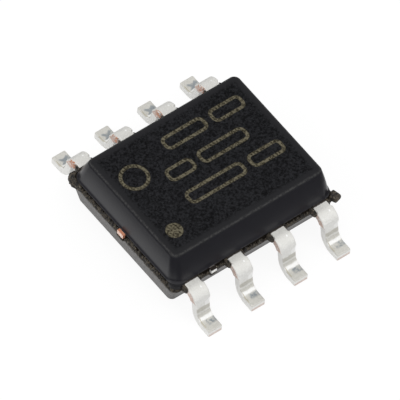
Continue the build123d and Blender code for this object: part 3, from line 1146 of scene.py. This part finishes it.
STAR = (("arms", 0.060, 0.025), ("star", 0.28, 0.18), ON_TOP, IN_REAR_ROW)
FINE_LINE = (
    ("across", -0.152, -0.165), ("across", -0.185, -0.175), ON_TOP,
    ("along", 0.12, 0.17), ("along", 0.52, 0.47))
GLINTING = (("glint", 0.026, 0.0156), ON_TOP)
STUB_CUT = (
    ON_SIDE, ("along", 1.36, 1.32), ("along", 0.94, 0.99), ("depth", 0.085, 0.070),
    ("streak", 0.28, 0.50))
REAR_CUT = (
    ON_SIDE, IN_REAR_ROW, ("along", 1.14, 1.20), ("along", 1.40, 1.34), ("crumb", 0.46, 0.58),
    ("across", -0.10, -0.15))
TOE_CUT = (("along", 0.012, 0.002), ("depth", 0.02, -0.04))


def lead_fields(tree, here):
    """The numbers that the marks on a lead are drawn with, by name."""
    fields = {name: stored(tree, name) for name in ("along", "across", "depth")}
    fields.update({name: grain(tree, here, *numbers) for name, numbers in LEAD_GRAINS.items()})
    along, across = fields["along"], fields["across"]
    past = calc(tree, "ABSOLUTE", calc(tree, "SUBTRACT", along, STAR_AT[0]))
    beside = calc(tree, "ABSOLUTE", calc(tree, "SUBTRACT", across, STAR_AT[1]))
    arms = calc(tree, "ABSOLUTE", calc(tree, "SUBTRACT", past, beside))
    off = calc(tree, "SUBTRACT", along, GLINT_AT[0])
    off_x = calc(tree, "SUBTRACT", across, GLINT_AT[1])
    square = calc(tree, "MULTIPLY_ADD", off, off, calc(tree, "MULTIPLY", off_x, off_x))
    fields["y"] = axis(tree, here, "Y")
    fields["side"] = calc(tree, "ABSOLUTE", across)
    fields["slanted"] = calc(tree, "MULTIPLY_ADD", across, RUBBED_AND_LIT_SLANT, along)
    fields["star"] = calc(tree, "ADD", past, beside)
    fields["arms"] = varied(tree, arms, fields["cloud"], STAR_WANDER)
    fields["glint"] = calc(tree, "SQRT", square)
    return fields


def mark(tree, fields, edges, strength=1.0):
    """Product of the fades of all edges, times a strength."""
    faded = [fade(tree, fields[name], missing, full) for name, missing, full in edges]
    return times(tree, *faded, strength)


def ramp(tree, value, stops):
    """A grey level that follows the given (position, level) stops along the lead."""
    step = tree.nodes.new("ShaderNodeValToRGB")
    elements = step.color_ramp.elements
    while len(elements) < len(stops):
        elements.new(0.5)
    for element, (position, _) in zip(elements, stops):
        element.position = position / BAND_SPAN
    for element, (_, level) in zip(elements, stops):
        element.color = (level, level, level, 1.0)
    join(tree, calc(tree, "DIVIDE", value, BAND_SPAN), step.inputs["Fac"])
    return step.outputs["Color"]


print("bands on the tin", len(TOOL_BANDS_AND_LIGHT))

# %% [markdown]
# The colour is laid on in layers: first the tin with its bands, then what dirtied it, then
# the cuts, and at the root a dark strip, partly resin that ran out over the lead and partly
# the painted shadow of the lip over it.

# %% Tin and copper
TIN_GRAIN = 0.55
RUBBED_AND_LIT_LIFT = 0.25
SIDE_TONE_AND_LIGHT = 0.72
BLOTS = (("blot", 0.43, 0.60),)
WASH = (("wash", 0.30, 0.50),)
WASH_STRENGTH = 0.42
STAR_STRENGTH = 0.85
LINE_STRENGTH = 0.8
TOE_STRENGTH = 0.7
COPPER_MOTTLE = (0.40, 0.60)
TIN_ENDS = (1.485, 1.497)
TIN_END_WANDER = 0.05
TIN_METAL = 0.45
TIN_ROUGHNESS = (0.3, 0.7, 0.46, 0.60)
TIN_CLOUD_SHARE = 0.8
TIN_BUMP = 0.009


def tin_colour(tree, fields):
    """Tin by bands on top, partly painted light; sides at one level, raised as painted light; grain; a
    place lightened by rubbing and painted light.
    """
    # Painted light: the band levels hold the heel's highlight and lighten the shaded leg.
    bands = ramp(tree, varied(tree, fields["along"], fields["cloud"], BAND_WANDER), TOOL_BANDS_AND_LIGHT)
    level = varied(tree, bands, fields["fine"], TIN_GRAIN)
    # A place lightened partly by rubbing and partly as painted light on the shaded leg.
    level = calc(tree, "MULTIPLY_ADD", mark(tree, fields, RUBBED_AND_LIT), RUBBED_AND_LIT_LIFT, level)
    on_top = mark(tree, fields, (ON_TOP,))
    # Painted light: the sides get one level, raised to stand for the light that falls on them.
    side_tone_and_light = times(tree, fade(tree, on_top, 1.0, 0.0), SIDE_TONE_AND_LIGHT)
    level = calc(tree, "MULTIPLY_ADD", level, on_top, side_tone_and_light)
    return blend(tree, level, TIN_DULL, TIN_BRIGHT)


def plated_lead():
    """Matte tin with bright bands and smudges; copper where it was cut; resin bleed and painted shadow
    at the root.
    """
    material, tree, shader = start_material("tin_plate")
    fields = lead_fields(tree, place(tree))
    fine, cloud = fields["fine"], fields["cloud"]
    colour = tin_colour(tree, fields)
    smudged = mark(tree, fields, SMUDGED)
    blots = times(tree, smudged, mark(tree, fields, BLOTS))
    wash = times(tree, smudged, mark(tree, fields, WASH, WASH_STRENGTH))
    copper = blend(tree, fade(tree, fine, *COPPER_MOTTLE), COPPER, COPPER_PALE)
    marks = (
        (calc(tree, "MAXIMUM", blots, wash), SMUDGE),
        (mark(tree, fields, STAR, STAR_STRENGTH), SMUDGE),
        (mark(tree, fields, FINE_LINE, LINE_STRENGTH), KHAKI),
        (mark(tree, fields, GLINTING), TIN_BRIGHT),
        (mark(tree, fields, STUB_CUT), copper),
        (mark(tree, fields, REAR_CUT), COPPER_DEEP),
        (mark(tree, fields, TOE_CUT, TOE_STRENGTH), copper))
    for share, tint in marks:
        colour = blend(tree, share, colour, tint)
    # The root is darkened partly by resin bleed and partly as the painted shadow of the lip.
    resin = fade(tree, varied(tree, fields["along"], fine, TIN_END_WANDER), *TIN_ENDS)
    metallic = fade(tree, resin, 0.0, 1.0, TIN_METAL, 0.0)
    roughness = fade(tree, cloud, *TIN_ROUGHNESS)
    dress(tree, shader, blend(tree, resin, colour, BLEED_AND_SHADE), roughness, metallic=metallic)
    bump(tree, calc(tree, "MULTIPLY_ADD", cloud, TIN_CLOUD_SHARE, fine), TIN_BUMP, shader)
    return material


tin_plate = plated_lead()
print("nodes in the tin", len(tin_plate.node_tree.nodes))

# %% [markdown]
# The profile is a rounded rectangle: stamping rolls the upper edges over and leaves the
# lower ones sharper. Its points are carried along the path: across the lead they keep their
# x, and through the thickness they follow the path's normal (-sin a, cos a). The numbers
# "along", "across" and "depth" are kept on the points, so that the tin's marks can follow
# the lead round its bends.

# %% Sweep a lead
EDGE_STEPS = 5
FACE_STEPS = 14
WALL_STEPS = 7
UPPER_EDGE = 0.028
LOWER_EDGE = 0.014
LEAD_STEP = 0.016
TOE_BEVEL = (0.008, 0.024)
SECTION_CORNERS = ((1, LOWER_EDGE, -1), (1, UPPER_EDGE, 1), (-1, UPPER_EDGE, 1), (-1, LOWER_EDGE, -1))
SECTION_STEPS = (WALL_STEPS, FACE_STEPS, WALL_STEPS, FACE_STEPS)


def lead_section():
    """Profile in order round the section, as rows (side, distance in from that side, depth).

    side is 1 or -1 at the rounded edges and runs from one to the other over the flats."""
    half = frame_thickness / 2
    corners = []
    for side, radius, top in SECTION_CORNERS:
        turn = np.linspace(0, np.pi / 2, EDGE_STEPS)
        turn = turn if side == top else turn[::-1]
        inset_x = side * radius * (1 - np.cos(turn))
        depth = top * (half - radius + radius * np.sin(turn))
        corners.append(np.column_stack([np.full(EDGE_STEPS, side), inset_x, depth]))
    rows = []
    for index, steps in enumerate(SECTION_STEPS):
        here = corners[index]
        after = corners[(index + 1) % len(corners)][0]
        share = np.linspace(0, 1, steps + 2)[1:-1, None]
        rows += [here, here[-1] + (after - here[-1]) * share]
    return np.concatenate(rows)


section = lead_section()


def sweep_lead(name, lead_x, row_side, inward):
    """One lead as a mesh: profile times path, with a small bevel at the toe and both ends closed."""
    start_y = ANCHOR_RISE[0] if inward == 0 else CORNER_TIP_Y
    s, y, z, slope = (np.append(part, part[-1]) for part in lead_path(start_y, LEAD_STEP))
    outer, inner = half_widths(y, inward)
    t, inset_x, depth = section.T
    lean = 1 if inward == 0 else -np.sign(inward)
    bevel = np.zeros(len(s))
    bevel[-2:] = TOE_BEVEL
    middle = (outer - inner) / 2
    half = (outer + inner) / 2 - bevel
    x = middle[:, None] + half[:, None] * t[None] - inset_x[None]
    through = depth[None] * (1 - 2 * bevel / frame_thickness)[:, None]
    grid = np.stack([
        lead_x + lean * x,
        y[:, None] - np.sin(slope)[:, None] * through,
        z[:, None] + np.cos(slope)[:, None] * through], -1)
    rows, columns = x.shape
    ends = np.stack([grid[0].mean(0), grid[-1].mean(0)])
    points = np.concatenate([grid.reshape(-1, 3), ends]) * np.array([row_side, row_side, 1])
    quads = tube_faces(rows, columns)
    first_fan = fan_faces(0, columns, rows * columns, inward=True)
    last_fan = fan_faces((rows - 1) * columns, columns, rows * columns + 1)
    if lean < 0:
        quads, first_fan, last_fan = quads[:, ::-1], first_fan[:, ::-1], last_fan[:, ::-1]
    along = np.repeat((s[-1] - s)[:, None], columns, 1)
    values = {
        "along": np.concatenate([along.ravel(), [s[-1], 0.0]]),
        "across": np.concatenate([row_side * lean * x.ravel(), [0.0, 0.0]]),
        "depth": np.concatenate([through.ravel(), [0.0, 0.0]]),
    }
    faces = quads.tolist() + first_fan.tolist() + last_fan.tolist()
    return put_mesh(name, points, faces, (tin_plate,), None, values)


for number in range(leads_per_side):
    lead_x = row_half - number * lead_pitch
    inward = {0: -1, leads_per_side - 1: 1}.get(number, 0)
    for row_side, node_number in ((-1, number + 1), (1, leads_per_side + number + 1)):
        lead = sweep_lead(f"tinned_lead_{node_number}", lead_x, row_side, inward)
        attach(lead, "root")
        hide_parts(f"lead_{node_number}")
        print(lead.name, len(lead.data.vertices), "points")

# %% [markdown]
# ## Inside, and the cut ends of the frame
# The plate under the chip reaches the outside at its two tie bars and at one small tab.
# These CAD pieces have the right form already, so they keep it and only get their finish.

# %% Finishes of the CAD nodes that stay
PAD_COPPER = (0.86, 0.37, 0.22, 1.0)
PAD_PALE = (0.98, 0.84, 0.76, 1.0)
PAD_WHITE = (0.98, 0.98, 0.96, 1.0)
PAD_METAL = 0.5
PAD_ROUGHNESS = 0.45
PAD_BUMP = 0.006
PAD_GRAINS = ((0.05, 2.0, 0.5), (0.03, 2.0, 0.5))
SMEAR = (0.40, 0.60, 0.45, 1.0)
END_FACE_X = (2.449, 2.453)
TAB_TINNED_Y = (-1.95, -2.00)
TAB_COVERED_AND_SHADED_Z = (frame_top - 0.026, frame_top - 0.02)
PLAIN_FINISHES = {
    "silver_adhesive": ((0.45, 0.45, 0.44, 1.0), (0.62, 0.62, 0.60, 1.0), 0.5, 0.6, 0.05),
    "silicon": ((0.16, 0.17, 0.21, 1.0), (0.24, 0.25, 0.30, 1.0), 0.7, 0.15, 0.3),
    "copper_wire": ((0.70, 0.38, 0.25, 1.0), (0.82, 0.50, 0.34, 1.0), 1.0, 0.25, 0.02)}


def cut_frame():
    """Bare copper alloy; the sheared end faces of the tie bars are paler; the tab is tinned white, its
    top darkened by flash and painted shadow.
    """
    material, tree, shader = start_material("cut_frame_copper")
    here = place(tree)
    smear_grain, fine = (grain(tree, here, *numbers) for numbers in PAD_GRAINS)
    end_face = fade(tree, calc(tree, "ABSOLUTE", axis(tree, here, "X")), *END_FACE_X)
    end_face = times(tree, end_face, fade(tree, smear_grain, *SMEAR))
    tinned = fade(tree, axis(tree, here, "Y"), *TAB_TINNED_Y)
    # The tab's top is darkened, partly by flash and partly as painted shadow.
    covered_and_shaded = times(tree, tinned, fade(tree, axis(tree, here, "Z"), *TAB_COVERED_AND_SHADED_Z))
    colour = blend(tree, end_face, PAD_COPPER, PAD_PALE)
    colour = blend(tree, tinned, colour, PAD_WHITE)
    colour = blend(tree, covered_and_shaded, colour, BLEED_AND_SHADE)
    dress(tree, shader, colour, PAD_ROUGHNESS, metallic=PAD_METAL)
    bump(tree, fine, PAD_BUMP, shader)
    return material


def plain_finish(name, dark, light, metallic, roughness, size):
    """A mottled finish for a piece that the resin hides."""
    material, tree, shader = start_material(name)
    mottled = blend(tree, grain(tree, place(tree), size), dark, light)
    dress(tree, shader, mottled, roughness, metallic=metallic)
    return material


plain = {name: plain_finish(name, *looks) for name, looks in PLAIN_FINISHES.items()}
node_finish = {"die_pad": cut_frame(), "die_attach": plain["silver_adhesive"], "die": plain["silicon"]}
for number in range(2 * leads_per_side):
    node_finish[f"bond_wire_{number + 1}"] = plain["copper_wire"]
for node_name, finish in node_finish.items():
    node_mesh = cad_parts[node_name].data
    node_mesh.materials.clear()
    node_mesh.materials.append(finish)
print("finished", len(node_finish), "CAD nodes")

# %% [markdown]
# ## Studio
# The ground is a white sheet under one wide soft sky. To the camera the sheet is white
# mostly by a glow of its own, so the light on the chip can stay low. The resin's sides mirror
# a painted reflection: to glossy rays the sheet glows bright near the chip, with painted
# shade under the body, and darker farther off.

# %% Floor and world
FLOOR_SIZE = 400.0
FLOOR_DIFFUSE = 0.60
FLOOR_DIFFUSE_SEEN = 0.12
FLOOR_GLOW_SEEN = 0.90
PAINTED_SHADE_UNDER = (-0.35, 0.0, 0.30, 0.95)
PAINTED_DARK_BEYOND = (1.2, 2.3, 1.0, 0.15)
WORLD_LIGHT = 0.80


def white_ground():
    """White sheet: glow and a little diffuse for the camera, a painted reflection glow for glossy rays,
    else diffuse.
    """
    material, tree, shader = start_material("white_ground")
    tree.nodes.remove(shader)
    paths = tree.nodes.new("ShaderNodeLightPath")
    seen = paths.outputs["Is Camera Ray"]
    mirrored = paths.outputs["Is Glossy Ray"]
    here = place(tree)
    beyond = []
    for letter, reach in zip("XY", lower_half_size):
        aside = calc(tree, "ABSOLUTE", axis(tree, here, letter))
        beyond.append(calc(tree, "SUBTRACT", aside, reach))
    distance = calc(tree, "MAXIMUM", *beyond)
    # Painted reflection: a glow for glossy rays, with painted shade under the body and dark farther off.
    painted_reflection = fade(tree, distance, *PAINTED_SHADE_UNDER)
    painted_reflection = times(tree, painted_reflection, fade(tree, distance, *PAINTED_DARK_BEYOND))
    glow = tree.nodes.new("ShaderNodeEmission")
    strength = calc(tree, "MULTIPLY_ADD", seen, FLOOR_GLOW_SEEN, times(tree, mirrored, painted_reflection))
    tree.links.new(strength, glow.inputs["Strength"])
    matt = tree.nodes.new("ShaderNodeBsdfDiffuse")
    reflectance = calc(tree, "MULTIPLY_ADD", seen, FLOOR_DIFFUSE_SEEN - FLOOR_DIFFUSE, FLOOR_DIFFUSE)
    reflectance = calc(tree, "MULTIPLY_ADD", mirrored, -FLOOR_DIFFUSE, reflectance)
    tree.links.new(reflectance, matt.inputs["Color"])
    both = tree.nodes.new("ShaderNodeAddShader")
    tree.links.new(matt.outputs[0], both.inputs[0])
    tree.links.new(glow.outputs[0], both.inputs[1])
    tree.links.new(both.outputs[0], tree.nodes["Material Output"].inputs["Surface"])
    return material


half_floor = FLOOR_SIZE / 2
floor_corners = [(-half_floor, -half_floor, 0), (half_floor, -half_floor, 0)]
floor_corners += [(half_floor, half_floor, 0), (-half_floor, half_floor, 0)]
floor = put_mesh("ground", floor_corners, [(0, 1, 2, 3)], (white_ground(),))

world = bpy.data.worlds.new("studio")
bpy.context.scene.world = world
world.use_nodes = True
world_tree = world.node_tree
background = world_tree.nodes["Background"]
background.inputs["Color"].default_value = (1.0, 1.0, 1.0, 1.0)
world_paths = world_tree.nodes.new("ShaderNodeLightPath")
seen_by_camera = world_paths.outputs["Is Camera Ray"]
world_light = calc(world_tree, "MULTIPLY_ADD", seen_by_camera, 1 - WORLD_LIGHT, WORLD_LIGHT)
world_tree.links.new(world_light, background.inputs["Strength"])
print("floor and world made")

# %% [markdown]
# Three large soft lamps stand far off. Each row below has a lamp's name, azimuth and
# elevation in degrees, distance and width in millimetres, and the brightness that it gives
# to a white card facing it. A square lamp of power P at distance d gives P / (pi^2 d^2).

# %% Lamps
LAMPS = (
    ("left_softbox", -100, 32, 60, 50, 0.18),
    ("front_softbox", 30, 30, 60, 40, 0.10),
    ("overhead", -20, 80, 70, 50, 0.10))


def soft_lamp(name, azimuth, elevation, distance, size, level):
    """Square soft lamp that aims at the chip."""
    a, e = np.radians([azimuth, elevation])
    toward = np.array([np.sin(a) * np.cos(e), -np.cos(a) * np.cos(e), np.sin(e)])
    data = bpy.data.lights.new(name, "AREA")
    data.shape = "SQUARE"
    data.size = size * MM
    data.energy = level * np.pi ** 2 * (distance * MM) ** 2
    lamp = bpy.data.objects.new(name, data)
    lamp.location = Vector(toward * distance * MM)
    lamp.rotation_euler = Vector(toward).to_track_quat("Z", "Y").to_euler()
    bpy.context.scene.collection.objects.link(lamp)


for row in LAMPS:
    soft_lamp(*row)
print("lamps", [lamp.name for lamp in bpy.data.lights])

# %% [markdown]
# ## Finish
# The colours are shown through the Standard view transform.

# %% End
bpy.context.scene.view_settings.view_transform = "Standard"
